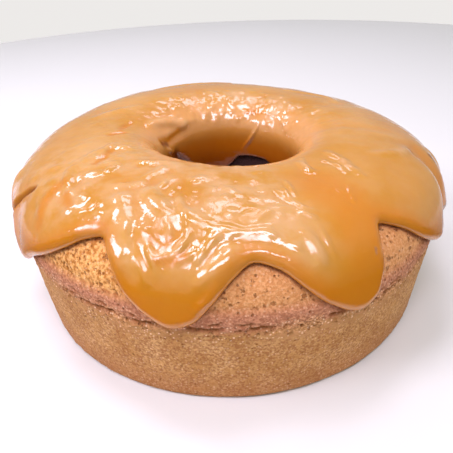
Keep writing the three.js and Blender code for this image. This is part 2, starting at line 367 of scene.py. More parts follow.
class Skin:
    """The half section as one measured line, with the way out of it at every point."""

    def __init__(self):
        line, crown = half_section()
        length = np.concatenate([[0], np.cumsum(np.hypot(*np.diff(line, axis=0).T))])
        length -= length[crown]
        self.low, self.high = length[0], length[-1]
        self.run = np.arange(self.low, self.high, SKIN_STEP)
        self.radius = np.interp(self.run, length, line[:, 0])
        self.height = np.interp(self.run, length, line[:, 1])
        ahead, behind = (np.array(self.at(self.run + way * SLOPE_REACH)) for way in (1, -1))
        along = ahead - behind
        along /= np.hypot(*along)
        self.out_r, self.out_z = -along[1], along[0]

    def eased(self):
        """The same line with its corners rounded off, as a thick pour would cover them."""
        even = copy.copy(self)
        reach = np.arange(-3 * POUR_SPREAD, 3 * POUR_SPREAD + SKIN_STEP / 2, SKIN_STEP)
        weight = bell(reach, POUR_SPREAD)
        weight /= weight.sum()
        for title in ("radius", "height", "out_r", "out_z"):
            values = np.pad(getattr(self, title), len(reach) // 2, mode="edge")
            setattr(even, title, np.convolve(values, weight, "valid"))
        return even

    def at(self, run):
        return np.interp(run, self.run, self.radius), np.interp(run, self.run, self.height)

    def out(self, run):
        return np.interp(run, self.run, self.out_r), np.interp(run, self.run, self.out_z)


skin = Skin()
eased_skin = skin.eased()


def settle(azimuth, radius, height):
    """Places section points round the ring, with its lean, its waves and its shifted hole."""
    up = height / CROWN_HEIGHT
    oval = radius + OUT_OF_ROUND * up * np.cos(2 * azimuth + OUT_OF_ROUND_TURN)
    shift = 1.0 - ramp(radius, HOLE_RADIUS_BASE, SHIFT_ENDS_AT)
    x = oval * np.cos(azimuth) + HOLE_SHIFT[0] * shift
    y = oval * np.sin(azimuth) + HOLE_SHIFT[1] * shift
    wave = CROWN_WAVE * np.cos(3 * azimuth + CROWN_WAVE_TURN)
    return np.stack([x, y, height + up * (LEAN * x + wave)], axis=-1)


def on_ring(azimuth, run, lift):
    """Points that far above the ring's skin."""
    radius, height = skin.at(run)
    out_r, out_z = skin.out(run)
    return settle(azimuth, radius + out_r * lift, height + out_z * lift)


CLINGS_BELOW = 0.5  # up to this lift the topping follows the small steps under it
FREE_ABOVE = 3.5  # and from this lift on it doesn't


def on_pour(azimuth, run, lift):
    """The same for the topping, whose top is smoother than the cake."""
    share = ramp(lift, CLINGS_BELOW, FREE_ABOVE)
    radius, height = (between(a, b, share) for a, b in zip(skin.at(run), eased_skin.at(run)))
    out_r, out_z = eased_skin.out(run)
    return settle(azimuth, radius + out_r * lift, height + out_z * lift)


def ring_mesh(name, points, surface_values):
    """A closed mesh from points[column, row], both of which come round to their start."""
    columns, rows = points.shape[:2]
    index = np.arange(columns * rows).reshape(columns, rows)
    along = np.roll(index, -1, axis=0)
    up, along_up = np.roll(index, -1, axis=1), np.roll(along, -1, axis=1)
    faces = np.stack([index, up, along_up, along], axis=-1).reshape(-1, 4)
    mesh = bpy.data.meshes.new(name)
    mesh.vertices.add(columns * rows)
    mesh.vertices.foreach_set("co", (points * MM).astype(np.float32).ravel())
    mesh.loops.add(faces.size)
    mesh.loops.foreach_set("vertex_index", faces.astype(np.int32).ravel())
    mesh.polygons.add(len(faces))
    mesh.polygons.foreach_set("loop_start", np.arange(0, faces.size, 4, dtype=np.int32))
    mesh.polygons.foreach_set("use_smooth", np.ones(len(faces), bool))
    mesh.update(calc_edges=True)
    for title, values in surface_values.items():
        layer = mesh.attributes.new(title, "FLOAT", "POINT")
        layer.data.foreach_set("value", np.asarray(values, np.float32).ravel())
    mesh.validate()
    piece = bpy.data.objects.new(name, mesh)
    bpy.context.scene.collection.objects.link(piece)
    return piece


# ---- The caramel topping ----

TOPPING_COLUMNS = 760
TOPPING_ROWS = 104
LIP_ROWS = 8
UNDERSIDE_ROWS = 6
LIP_END = 6.5  # the last row that follows the edge, this far in from it
SWING = 1.6  # how late, on their way out, the columns lean over to the outer edge's spacing
MOST_RELIEF = 1.4  # no ridge stands higher than this above the even film
LEAST_FILM = 0.7  # no hollow goes deeper into the topping than this skin of it
WAY_STEP = 0.4  # between the points of a mark's smooth way
MARK_REACH = 3.2  # how many half widths away a mark is still felt
BROAD_MARK = 2.5  # ridges narrower than this have broken up as they sank back
MARK_END = 0.12  # how far into its swell a mark begins, and before its swell's end it stops
MARK_FLANK = 0.22  # the shallow dip beside a ridge, as a share of its height
FARTHEST_EDGE = 30.0  # beyond this the edge makes no difference to the colour


def film_at(azimuth, run):
    """How thick the topping is before its folds."""
    into_hole = between(FILM_ON_CROWN, FILM_IN_HOLE, ramp(-run, 0, HOLE_FILM_RUN))
    outwards = between(FILM_ON_CROWN, FILM_ON_SHOULDER, ramp(run, 0, SHOULDER_FILM_RUN))
    film = np.where(run < 0, into_hole, outwards)
    across = 1.0 - ramp(np.abs(run - ROLL_RUN), 0, ROLL_HALF_WIDTH)
    return film + ROLL_HEIGHT * across * np.clip(-np.sin(azimuth), 0, None)


def azimuths_along(edge, count):
    """Azimuths in equal steps along the edge itself, so steep flanks get enough of them."""
    fine = 8 * count
    samples = np.linspace(0, ALL_ROUND, fine + 1)
    steps = np.hypot(SHOULDER_RADIUS * ALL_ROUND / fine, np.diff(edge(samples)))
    length = np.concatenate([[0], np.cumsum(steps)])
    return np.interp(np.arange(count) / count * length[-1], length, samples)


def inset(azimuth, run, inwards, distance):
    """The edge curve moved in over the skin, square to itself, by each distance."""
    radius = skin.at(run)[0]
    d_azimuth = np.roll(azimuth, -1) - np.roll(azimuth, 1)
    d_azimuth = (d_azimuth + math.pi) % ALL_ROUND - math.pi
    along = np.stack([radius * d_azimuth, np.roll(run, -1) - np.roll(run, 1)])
    soften = np.array([1, 2, 3, 4, 3, 2, 1]) / 16.0
    along = np.array([np.convolve(np.pad(v, 3, mode="wrap"), soften, "valid") for v in along])
    along /= np.hypot(*along)
    across = np.stack([along[1], -along[0]]) * inwards
    return (
        azimuth[:, None] + across[0][:, None] * distance / radius[:, None],
        run[:, None] + across[1][:, None] * distance,
    )


def smooth_way(points):
    """Points in short steps along a smooth curve through (azimuth, run) points."""
    points = np.array(points, float)
    padded = np.vstack([2 * points[0] - points[1], points, 2 * points[-1] - points[-2]])
    way = []
    for before, start, end, after in zip(padded, padded[1:], padded[2:], padded[3:]):
        span = math.hypot((end[0] - start[0]) * MM_PER_DEGREE, end[1] - start[1])
        t = np.linspace(0, 1, max(3, round(span / WAY_STEP)), endpoint=False)[:, None]
        way.append(
            start
            + 0.5 * t * (end - before)
            + t**2 * (before - 2.5 * start + 2 * end - 0.5 * after)
            + t**3 * (-0.5 * before + 1.5 * start - 1.5 * end + 0.5 * after)
        )
    way.append(points[-1:])
    return np.vstack(way)


def near_way(flat, half_width, way):
    """Which points lie near a mark, how many half widths off it, and how far along it."""
    azimuth, run = smooth_way(way).T
    azimuth = np.radians(azimuth)
    track = on_pour(azimuth, run, GAP + film_at(azimuth, run))
    reach = MARK_REACH * half_width
    near = np.all((flat > track.min(axis=0) - reach) & (flat < track.max(axis=0) + reach), axis=1)
    apart = np.linalg.norm(flat[near][:, None, :] - track[None], axis=2)
    nearest = apart.argmin(axis=1)
    return near, apart[np.arange(len(apart)), nearest] / half_width, nearest / (len(track) - 1)


def edge_distance(points, edge):
    """How far each point is from the topping's outer edge, up to FARTHEST_EDGE."""
    tree = KDTree(len(edge))
    for number, point in enumerate(edge.tolist()):
        tree.insert(point, number)
    tree.balance()
    found = [min(tree.find(p)[2], FARTHEST_EDGE) for p in points.reshape(-1, 3).tolist()]
    return np.array(found).reshape(points.shape[:-1])


def drawn_mask(points, ways):
    """1 on each of those ways, fading out about a half width away from it."""
    flat = points.reshape(-1, 3)
    mask = np.zeros(len(flat))
    for half_width, way in ways:
        near, distance, _ = near_way(flat, half_width, way)
        mask[near] = np.maximum(mask[near], np.exp(-(distance**3)))
    return mask.reshape(points.shape[:-1])


def spoon_relief(points):
    """The sum of all the spoon's marks at each point of the topping's even surface."""
    flat = points.reshape(-1, 3)
    relief = np.zeros(len(flat))
    for height, half_width, way in SPOON_MARKS:
        near, distance, along = near_way(flat, half_width, way)
        fade = np.sin((MARK_END + (1 - 2 * MARK_END) * along) * math.pi) ** 0.7
        if half_width < BROAD_MARK and height > 0:
            fade *= np.clip(0.8 + 1.1 * waves(flat[near], 6.0, 1.9), 0.15, 1.4)
        ridge = bell(distance, 1.0) - MARK_FLANK * bell(distance, 2.0)
        relief[near] += height * fade * ridge / (1 - MARK_FLANK)
    return relief.reshape(points.shape[:-1])


# Where the surface has a character of its own, as a band's four ends or as the middle azimuth.
WORKED_SIDE = (184, 212, 282, 298)
WORKED_RUNS = (-34, -14, 34, 56)
BACK_RIM_RUNS = (-34, -26, -8, 2)
BACK_RIM_AZIMUTH = 80.0
COMBED_AZIMUTH = 22.0


def topping_folds(points, azimuth, run):
    """How the surface stands above or below its even film, and where the spoon worked it."""
    degrees = np.degrees(azimuth) % 360.0
    front_left = band(degrees, *WORKED_SIDE)
    crown = band(run, *WORKED_RUNS)
    back_rim = np.clip(np.cos(azimuth - math.radians(BACK_RIM_AZIMUTH)), 0, 1)
    back_rim *= band(run, *BACK_RIM_RUNS)
    worked = np.clip(crown * (0.22 + 0.78 * front_left) + 0.7 * back_rim, 0, 1)

    # Slow swells, calmer away from the crown.
    swell = 0.75 * waves(points, 46, 5.1) + 0.45 * waves(points, 22, 9.7)
    swell *= 0.45 + 0.55 * crown

    # Folds, lumps and grain, bent out of line as the caramel crept.
    swept = points + 8.0 * three_waves(points, 24, (11.3, 27.9, 41.2))
    folds = 0.2 * (crests(swept, 26, 2.2) ** 2 - 0.25)
    distance, mark = pores(swept, 7.5, 4.6)
    lumps = 0.6 * knob(distance, 0.62) * np.clip(mark * 2.2, -0.6, 1)
    grain = 0.08 * waves(swept, 4.2, 3.3)

    # Beads along the hole's back rim, and shallow grooves that run outwards on one side.
    distance, _ = pores(points, 6.0, 3.1)
    beads = 0.9 * back_rim * knob(distance, 0.6)
    combed = ramp(np.cos(azimuth - math.radians(COMBED_AZIMUTH)), 0.6, 0.9) * crown
    spokes = np.stack([60 * np.cos(azimuth), 60 * np.sin(azimuth), 0.22 * run], axis=-1)
    grooves = 0.5 * combed * np.minimum(waves(spokes, 8.5, 3.9), 0.15)
    relief = swell + worked * (folds + lumps + grain) + beads + grooves
    return relief + spoon_relief(points), worked


def settled(relief):
    """The same relief, with its highest ridges sunk back so that none passes MOST_RELIEF."""
    half = MOST_RELIEF / 2
    over = np.clip(relief - half, 0, None)
    return np.minimum(relief, half) + half * np.tanh(over / half)


def pour_edges():
    """The topping's inner and outer edges, each as azimuths and runs."""
    outer_edge, hole_edge = edge_curve(DRIPS), edge_curve(HOLE_DRIPS)
    outer = azimuths_along(outer_edge, TOPPING_COLUMNS)
    even = np.arange(TOPPING_COLUMNS) / TOPPING_COLUMNS * ALL_ROUND
    inner = even + (outer - even).mean()
    return (inner, -hole_edge(inner)), (outer, outer_edge(outer))


def rounded_lip(azimuth, run, inwards):
    """A lip's rows from under its edge to its top, and the one row further in that follows it.

    Every row is its azimuth, its run, how far it is lifted, and that as a share of the film.
    """
    film = film_at(azimuth, run)[:, None]
    turn = np.linspace(-math.asin(LIP_TUCK), math.pi / 2, LIP_ROWS)
    inward = np.minimum(LIP_WIDTH, film) * (1 - np.cos(turn))
    up = film * (np.sin(turn) + LIP_TUCK) / (1 + LIP_TUCK)
    follows = inset(azimuth, run, inwards, np.full_like(film, LIP_END))
    return (*inset(azimuth, run, inwards, inward), up, up / film), follows


def pour_rows(inner, outer):
    """All the rows of the closed topping: inner lip, top, outer lip, and back underneath."""
    inner_lip, inner_last = rounded_lip(*inner, -1)
    outer_lip, outer_last = rounded_lip(*outer, 1)
    share = np.linspace(0, 1, TOPPING_ROWS)[None, :]
    azimuth = between(inner_last[0], outer_last[0], share**SWING)
    run = between(inner_last[1], outer_last[1], share)
    film = film_at(azimuth, run)
    top = (azimuth, run, film, np.ones_like(film))
    back = np.linspace(1, 0, UNDERSIDE_ROWS + 2)[None, 1:-1]
    under = [between(first[:, None], last[:, None], back) for first, last in zip(inner, outer)]
    under += [np.zeros_like(under[0])] * 2
    outwards_in = [values[:, ::-1] for values in outer_lip]
    return [np.hstack(rows) for rows in zip(inner_lip, top, outwards_in, under)]


def make_topping():
    inner, outer = pour_edges()
    azimuth, run, up, full = pour_rows(inner, outer)
    flat = on_pour(azimuth, run, GAP + up)
    relief, worked = topping_folds(flat, azimuth, run)
    relief = np.maximum(settled(relief) * full, (LEAST_FILM - up) * full)
    return ring_mesh(
        "caramel_pour",
        on_pour(azimuth, run, GAP + up + relief),
        {
            "run": run,
            "relief": relief,
            "edge": edge_distance(flat, on_pour(*outer, GAP + film_at(*outer))),
            "syrup_and_shade": drawn_mask(flat, SYRUP_AND_SHADE_STREAKS),
            "crease": drawn_mask(flat, CREASES),
            "busy": np.maximum(worked, np.clip(np.abs(relief) * 0.7, 0, 1)),
        },
    )


# ---- The baked ring ----

RING_COLUMNS = 1000
SHOWN_OUTSIDE = 34.0  # the cake shows outwards of this run, where the drips leave it bare
SHOWN_IN_HOLE = -42.0  # and again from here down the hole; the topping covers all between
# The crumb along the topping's edge is darkened, partly as soaked crumb and partly as painted shade
# under the lip.
EDGE_SAMPLES = 1500  # points of the topping's edge, for the crumb that it soaked
PORE_TEAR = 0.7  # how ragged the pores' edges are
COARSE_IN_FRONT = (208, 218, 246, 258)  # azimuths between which the crumb is coarse
COARSE_BEHIND = (95, 110, 120, 150)
OPEN_FROM = 57.0  # the heights over which crust gives way to open crumb
OPEN_FULLY = 64.0
WALL_FULLY = 44.0  # and wall to crust
WALL_ENDS = 49.0
SLIT_DEPTH = 1.7  # how deep the torn line gapes
SLIT_HALF_HEIGHT = 1.2


def ring_rows():
    """Runs along the section, close together where the cake shows and wide under the topping."""
    outside = skin.run > SHOWN_OUTSIDE
    rim = skin.run[outside][np.argmin(np.abs(skin.height[outside] - RIM_HEIGHT))]
    stretches = [
        (skin.low, SHOWN_IN_HOLE, 13),
        (SHOWN_IN_HOLE, SHOWN_OUTSIDE, 7),
        (SHOWN_OUTSIDE, rim - 5, 34),
        (rim - 5, rim + 6, 18),
        (rim + 6, skin.high, 27),
    ]
    rows = [np.linspace(first, last, count, endpoint=False) for first, last, count in stretches]
    return np.concatenate([*rows, [skin.high]])


def pits(points, size, seed, share, widest):
    """Open pores in that share of the crumb's cells: 1 at the middle of each, 0 between them."""
    torn = three_waves(points, 2.2, (seed + 0.3, seed + 5.7, seed + 8.1))
    distance, mark = pores(points + PORE_TEAR * torn, size, seed)
    mark = np.clip(0.5 + 0.5 * mark, 0, 1)
    width = widest * (0.45 + 0.55 * (mark / share))
    return (1 - ramp(distance, width * 0.45, width)) * (mark < share)


def torn_line(points, height, outside):
    """Where the ragged line under the pan's rim gapes, and how near to it the skin is torn."""
    level = points * [1, 1, 0]
    line = RIM_HEIGHT + 0.6 + 1.5 * waves(level, 19, 3.1) + 1.0 * waves(level, 6, 6.4)
    line += 0.7 * waves(level, 2.6, 1.3)
    gapes = ramp(waves(level, 7, 9.9) + 0.35 * waves(level, 2.5, 4.1), -0.24, 0.02)
    slit = bell(height - line, SLIT_HALF_HEIGHT) * gapes
    above = line + 3.4 + 0.8 * waves(level, 8, 2.2)
    second = bell(height - above, SLIT_HALF_HEIGHT / 2) * ramp(waves(points, 8, 5.9), 0.02, 0.2)
    slit = np.clip(slit + 0.8 * second, 0, 1) * outside
    ragged = bell(height - line + 2.5, 5.4) * outside
    return np.maximum(slit, 0.9 * ragged * pits(points, 2.8, 5.2, 0.5, 0.42)), ragged


def ring_relief(points, azimuth, height, outside):
    """Crumb, crust, torn line and wall, as heights over the skin, with masks for the colours."""
    degrees = np.degrees(azimuth) % 360.0
    coarse = band(degrees, *COARSE_IN_FRONT)
    coarse = np.maximum(coarse, 0.8 * band(degrees, *COARSE_BEHIND))
    crumb = ramp(height, OPEN_FROM, OPEN_FULLY)
    wall = 1 - ramp(height, WALL_FULLY, WALL_ENDS)
    crust = (1 - crumb) * (1 - wall)
    slit, ragged = torn_line(points, height, outside)
    broad = 0.45 * waves(points, 34, 1.7) + 0.2 * waves(points, 13, 4.4)
    grit = 0.24 * waves(points, 2.3, 8.8) + 0.2 * waves(points, 4.6, 6.1)
    grit += 0.18 * waves(points, 1.5, 7.7)
    open_pits = np.maximum(pits(points, 5.6, 2.9, 0.4, 0.3), pits(points, 3.0, 9.4, 0.3, 0.34))
    pit = np.maximum(open_pits, pits(points, 3.1, 7.2, 0.62, 0.36) * coarse)
    flakes = 0.6 * waves(points, 1.9, 5.5) + 0.5 * np.abs(waves(points, 3.6, 2.5))
    relief = (
        broad
        + grit * (0.9 + 0.5 * coarse) * (crumb + 0.5 * crust + 0.8 * wall)
        - (0.9 + 0.4 * coarse) * pit * (crumb + 0.3 * crust + 0.15 * wall)
        - SLIT_DEPTH * slit
        + ragged * flakes
    )
    dark = np.clip(pit * (crumb + 0.35 * crust + 0.2 * wall) + slit, 0, 1)
    return relief, {"dark": dark, "ragged": ragged, "coarse": coarse}


def make_ring():
    azimuth = (np.arange(RING_COLUMNS) / RING_COLUMNS * ALL_ROUND)[:, None]
    run, azimuth = np.broadcast_arrays(ring_rows()[None, :], azimuth)
    plain = on_ring(azimuth, run, 0.0)
    height = skin.at(run)[1]
    outside = run > 0
    relief, masks = ring_relief(plain, azimuth, height, outside)
    shown = ramp(run, SHOWN_OUTSIDE, SHOWN_OUTSIDE + 3)
    shown = shown + (1 - ramp(run, SHOWN_IN_HOLE - 4, SHOWN_IN_HOLE))
    masks["dark"] = masks["dark"] * shown
    off_the_base = ramp(height, 0, BASE_ROUND)
    pour_edge = edge_curve(DRIPS)
    edge_azimuth = azimuths_along(pour_edge, EDGE_SAMPLES)
    from_pour = edge_distance(plain, on_ring(edge_azimuth, pour_edge(edge_azimuth), 0.0))
    return ring_mesh(
        "baked_ring_crumb",
        on_ring(azimuth, run, relief * shown * off_the_base),
        {
            "height": height,
            # Soaked crumb and painted shade along the topping's edge.
            "soaked_and_shaded": bell(from_pour, 1.1 + 0.5 * waves(plain, 3.0, 3.7)) * outside,
            # The cake inside the hole, painted near black as shade.
            "inner": ~outside,
            **masks,
        },
    )


# ---- Finishes ----


def rgb(red, green, blue):
    """A colour as a painter names it, 0 to 255, in the linear values that the shaders take."""
    parts = np.array([red, green, blue]) / 255.0
    linear = np.where(parts <= 0.04045, parts / 12.92, ((parts + 0.055) / 1.055) ** 2.4)
    return (*linear.tolist(), 1.0)


# The topping's colours. Here and below, a pair is the two tones that a surface wanders between.
CARAMEL = (rgb(186, 130, 34), rgb(196, 144, 62))
# Paler caramel where spooned: partly cloudier caramel, partly painted sheen.
SPOONED_CARAMEL_AND_SHEEN = rgb(200, 160, 106)
# Painted shade in the hollows of the relief.
HOLLOW_SHADE = rgb(186, 118, 8)
# The colour of clear syrup, also laid on the lobes' lower ends as painted shade.
CLEAR_SYRUP_AND_SHADE = rgb(192, 118, 2)
# Painted shade along the topping's outer rim.
RIM_SHADE = rgb(192, 116, 2)
# Painted sheen high in the hole.
HOLE_SHEEN = rgb(218, 162, 104)
# Painted shade down the hole, darker the deeper.
HOLE_SHADE = rgb(182, 98, 6)
DEEP_HOLE_SHADE = rgb(148, 72, 1)
CREASE_SHADE = rgb(112, 50, 8)

# The cake's colours.
CRUMB = (rgb(210, 142, 78), rgb(234, 174, 114))
CRUMB_PATCH = rgb(214, 150, 88)
GOLDEN_CRUMB = (rgb(190, 122, 46), rgb(246, 186, 108))
CRUST = (rgb(170, 108, 72), rgb(204, 142, 104))
WALL = (rgb(194, 142, 76), rgb(220, 172, 110))
WALL_SPECKLE = rgb(162, 102, 54)
WALL_BAND = rgb(206, 152, 84)
WALL_FOOT = rgb(176, 110, 60)
TORN_CRUST = (rgb(158, 100, 44), rgb(232, 176, 118))
# Pale grains, partly real, partly painted glints.
PALE_GRAIN_AND_GLINT = rgb(246, 208, 168)
PORE_SHADE = rgb(140, 78, 16)
# Soaked crumb, which is also painted shade under the topping's edge.
SOAKED_CRUMB_AND_SHADE = rgb(116, 48, 12)
# Painted shade: the cake inside the hole near black.
HOLE_WALL_SHADE = rgb(66, 40, 36)

FLOOR = rgb(226, 231, 222)
FLOOR_IN_THE_GLOSS = rgb(60, 57, 55)


# Where each of the topping's colours and painted shades sets in, as runs, and for the rim's
# painted shade as millimetres from the outer edge.
LOBE_ENDS = (44, 58)
RIM_SHADE_FADES = (11, 3)
HOLE_SHEEN_STARTS = (-12, -22)
HOLE_SHEEN_ENDS = (-42, -28)
HOLE_SHADE_STARTS = (-30, -44)
DEEP_HOLE_SHADE_STARTS = (-40, -58)

# The same for the cake, as heights.
WALL_FOOT_DARKENS = (24, 2)
CRUST_STARTS = (45.5, 50)
CRUMB_STARTS = (56, 63)
BUBBLES_START = (58, 62)


class Nodes:
    """A node tree, with short ways to add and join its nodes."""

    def __init__(self, tree):
        self.nodes, self.links = tree.nodes, tree.links

    def add(self, kind):
        return self.nodes.new("ShaderNode" + kind)

    def feed(self, value, socket):
        """Joins a node's output to a socket, or sets the socket to a plain value."""
        if isinstance(value, (int, float, tuple)):
            socket.default_value = value
        else:
            self.links.new(value, socket)

    def made(self, kind, inputs, operation=None):
        """A new node with its inputs fed, by their names or numbers."""
        node = self.add(kind)
        if operation:
            node.operation = operation
        for title, value in inputs.items():
            self.feed(value, node.inputs[title])
        return node

    def place(self):
        return self.add("TexCoord").outputs["Object"]

    def axes(self, vector):
        return self.made("SeparateXYZ", {0: vector}).outputs

    def span(self, value, low, high, to_low=0.0, to_high=1.0):
        """What value is between low and high, eased, from to_low to to_high."""
        ends = {"From Min": low, "From Max": high, "To Min": to_low, "To Max": to_high}
        node = self.made("MapRange", {"Value": value, **ends})
        node.interpolation_type = "SMOOTHSTEP"
        return node.outputs["Result"]

    def math(self, operation, a, b):
        return self.made("Math", {0: a, 1: b}, operation).outputs[0]

    def times(self, a, b):
        return self.math("MULTIPLY", a, b)

    def mix(self, share, first, second):
        """A number from first to second, as share goes from 0 to 1."""
        return self.made("Mix", {0: share, 2: first, 3: second}).outputs[0]

    def tint(self, share, under, over):
        """A colour laid over another, as thickly as share says."""
        node = self.add("Mix")
        node.data_type = "RGBA"
        for socket, value in {0: share, 6: under, 7: over}.items():
            self.feed(value, node.inputs[socket])
        return node.outputs[2]


MOTTLE_DEFAULTS = {"Scale": 100.0, "Detail": 3.0, "Roughness": 0.55, "Distortion": 0.0,
                   "Low": 0.3, "High": 0.7}


def mottle_group():
    """Uneven patches from 0 to 1, shared by every finish: the closer Low and High, the harder."""
    group = bpy.data.node_groups.new("mottle", "ShaderNodeTree")
    for title, default in MOTTLE_DEFAULTS.items():
        socket = group.interface.new_socket(title, in_out="INPUT", socket_type="NodeSocketFloat")
        socket.default_value = default
    group.interface.new_socket("Patches", in_out="OUTPUT", socket_type="NodeSocketFloat")
    inside = Nodes(group)
    given = inside.nodes.new("NodeGroupInput").outputs
    result = inside.nodes.new("NodeGroupOutput").inputs
    settings = {title: given[title] for title in ("Scale", "Detail", "Roughness", "Distortion")}
    clouds = inside.made("TexNoise", {"Vector": inside.place(), **settings})
    patches = inside.span(clouds.outputs["Fac"], given["Low"], given["High"])
    inside.feed(patches, result["Patches"])
    return group


class Finish(Nodes):
    """One material's node tree, with the ways that only a surface needs."""

    def __init__(self, name):
        self.material = bpy.data.materials.new(name)
        self.material.use_nodes = True
        super().__init__(self.material.node_tree)
        self.nodes.clear()
        self.shader = self.add("BsdfPrincipled")
        self.made("OutputMaterial", {"Surface": self.shader.outputs["BSDF"]})

    def attribute(self, name):
        node = self.add("Attribute")
        node.attribute_name = name
        return node.outputs["Fac"]

    def mottle(self, per_metre, **values):
        node = self.add("Group")
        node.node_tree = bpy.data.node_groups.get("mottle") or mottle_group()
        for title, value in {"Scale": per_metre, **values}.items():
            node.inputs[title].default_value = value
        return node.outputs["Patches"]

    def grains(self, per_metre):
        """Scattered cells: how far each point is from its cell's middle, and a number per cell."""
        cells = self.made("TexVoronoi", {"Scale": per_metre, "Vector": self.place()})
        number = self.made("SeparateColor", {0: cells.outputs["Color"]})
        return cells.outputs["Distance"], number.outputs[0]

    def bump(self, height, depth, strength, over=None):
        """The surface's normal with that relief on it, over a coarser normal if one is given."""
        node = self.made("Bump", {"Height": height, "Distance": depth, "Strength": strength})
        if over is not None:
            self.feed(over, node.inputs["Normal"])
        return node.outputs["Normal"]

    def set(self, **values):
        for title, value in values.items():
            self.feed(value, self.shader.inputs[title.replace("_", " ")])


def pour_tone(look, run, busy):
    """Cloudy caramel, clear where it pooled, with painted sheen where spooned and high in the hole,
    and painted shade.
    """
    tone = look.tint(look.mottle(28, Low=0.35, High=0.68), *CARAMEL)
    # Paler where spooned: partly the cloudier worked caramel, partly painted sheen between the
    # highlights.
    pale = look.times(busy, look.mottle(75, Low=0.34, High=0.62))
    tone = look.tint(look.times(pale, 0.7), tone, SPOONED_CARAMEL_AND_SHEEN)
    # Painted shade: deeper gold in the relief's hollows.
    hollow_shade = look.span(look.attribute("relief"), 0.4, -1.2)
    tone = look.tint(look.times(hollow_shade, 0.8), tone, HOLLOW_SHADE)
    # Painted shade: the lobes' lower ends deeper orange, as if they mirror nothing bright.
    tone = look.tint(look.times(look.span(run, *LOBE_ENDS), 0.9), tone, CLEAR_SYRUP_AND_SHADE)
    # Painted shade along the outer rim.
    rim = look.span(look.attribute("edge"), *RIM_SHADE_FADES)
    tone = look.tint(look.times(rim, 0.7), tone, RIM_SHADE)
    # Painted sheen: the upper part of the hole paler, as if it caught the light.
    upper_hole_sheen = look.times(look.span(run, *HOLE_SHEEN_STARTS), look.span(run, *HOLE_SHEEN_ENDS))
    tone = look.tint(look.times(upper_hole_sheen, 0.5), tone, HOLE_SHEEN)
    # Painted shade, darker the deeper into the hole.
    hole = look.span(run, *HOLE_SHADE_STARTS)
    tone = look.tint(look.times(hole, 0.85), tone, HOLE_SHADE)
    tone = look.tint(look.span(run, *DEEP_HOLE_SHADE_STARTS), tone, DEEP_HOLE_SHADE)
    # Pooled syrup, and streaks that are painted shade and painted reflection of something dark.
    tone = look.tint(look.times(look.attribute("syrup_and_shade"), 0.75), tone, CLEAR_SYRUP_AND_SHADE)
    return look.tint(look.times(look.attribute("crease"), 0.85), tone, CREASE_SHADE)


def dulce_de_leche():
    look = Finish("dulce_de_leche")
    run, busy = look.attribute("run"), look.attribute("busy")
    dull = look.times(look.span(busy, 0.0, 0.8, 0.25, 1.0), look.mottle(80, Low=0.45, High=0.62))
    ripple = look.mottle(200, Detail=1.0, Distortion=0.5, Low=0, High=1)
    ripple = look.bump(ripple, depth=0.0004, strength=0.3)
    crinkle = look.times(busy, look.mottle(240, Detail=1.5, Distortion=0.6, Low=0.1, High=0.9))
    look.set(
        Base_Color=pour_tone(look, run, busy),
        Roughness=look.span(dull, 0, 1, 0.1, 0.26),
        Normal=look.bump(crinkle, depth=0.0003, strength=0.3, over=ripple),
        IOR=1.5,
        Specular_IOR_Level=0.85,
        Subsurface_Weight=0.15,
        Subsurface_Radius=(1.0, 0.4, 0.1),
        Subsurface_Scale=0.003,
    )
    return look.material


def crumb_tone(look, speckle, patches):
    """The open crumb of the dome, golden and clumped where it is coarse."""
    tone = look.tint(speckle, *CRUMB)
    tone = look.tint(look.times(patches, 0.5), tone, CRUMB_PATCH)
    golden = look.tint(look.mottle(540, Low=0.36, High=0.62), *GOLDEN_CRUMB)
    return look.tint(look.attribute("coarse"), tone, golden)


def wall_tone(look, speckle, patches, height):
    """The wall that the pan browned, darker towards its foot."""
    tone = look.tint(patches, *WALL)
    tone = look.tint(look.times(speckle, 0.85), tone, WALL_SPECKLE)
    bands = look.mottle(190, Detail=2.0, Distortion=0.4, Low=0.5, High=0.66)
    tone = look.tint(look.times(bands, 0.55), tone, WALL_BAND)
    return look.tint(look.span(height, *WALL_FOOT_DARKENS, 0.0, 0.5), tone, WALL_FOOT)


def torn_tone(look, tone, speckle, ragged):
    """The torn crust under the rim's line, and the pale grains, partly painted glints, that are
    thickest there.
    """
    torn_share = look.times(ragged, look.mottle(45, Low=0.34, High=0.6))
    torn = look.tint(speckle, *TORN_CRUST)
    tone = look.tint(look.times(torn_share, 0.8), tone, torn)
    # Pale grains: partly real pale grains, partly painted glints.
    middle, number = look.grains(760)
    grain = look.times(look.span(middle, 0.5, 0.2), look.math("GREATER_THAN", number, 0.72))
    plenty = look.span(ragged, 0.05, 0.7, 0.35, 0.9)
    return look.tint(look.times(grain, plenty), tone, PALE_GRAIN_AND_GLINT)


def small_pores(look, height, ragged):
    """Pinholes everywhere, most in the crumb and the torn crust, and bubbles in the crumb."""
    middle, number = look.grains(520)
    open_share = look.span(height, 20, 62, 0.03, 0.2)
    open_share = look.math("MAXIMUM", open_share, look.times(ragged, 0.45))
    gapes = look.math("LESS_THAN", number, open_share)
    pinhole = look.times(look.span(middle, 0.4, 0.15), gapes)
    middle, number = look.grains(240)
    uneven = look.math("ADD", middle, look.times(look.mottle(900, Low=0, High=1), 0.5))
    bubble = look.times(look.span(uneven, 0.56, 0.44), look.math("LESS_THAN", number, 0.34))
    bubble = look.times(bubble, look.span(height, *BUBBLES_START))
    return look.math("MAXIMUM", pinhole, bubble)


